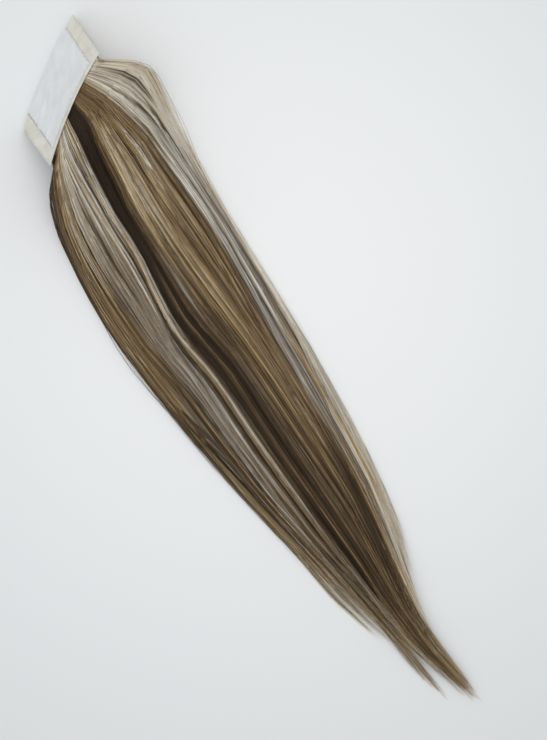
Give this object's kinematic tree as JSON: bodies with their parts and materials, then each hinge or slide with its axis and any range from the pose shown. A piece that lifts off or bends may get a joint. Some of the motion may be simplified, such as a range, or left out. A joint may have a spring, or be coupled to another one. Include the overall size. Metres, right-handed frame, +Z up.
{
  "type": "silk base closure",
  "caption": "Silk and lace closure patch with a long fall of straight streaked hair, lying underside up with its edge tucked under and the hair spread to a point.",
  "frame": {"origin": "under the middle of the whole thing, on the surface that it lies on", "axes": "+Z up from the surface; the hair flows towards -Y, so the patch is at the +Y end; +X to the right seen from above with the patch at the top"},
  "size_m": [0.1432, 0.631, 0.0602],
  "materials": {
    "lace": "matt swiss lace",
    "silk": "soft satin silk",
    "hair_caramel_edge": "smooth hair",
    "hair_platinum": "smooth hair",
    "hair_dark_streak": "smooth hair",
    "hair_golden": "smooth hair",
    "hair_ash": "smooth hair",
    "hair_blonde_edge": "smooth hair"
  },
  "bodies": {
    "root": {"lace_base": "lace", "silk_panel": "silk", "hair_caramel_edge": "hair_caramel_edge", "hair_platinum": "hair_platinum", "hair_dark_streak": "hair_dark_streak", "hair_golden": "hair_golden", "hair_ash": "hair_ash", "hair_blonde_edge": "hair_blonde_edge"}
  },
  "joints": []
}
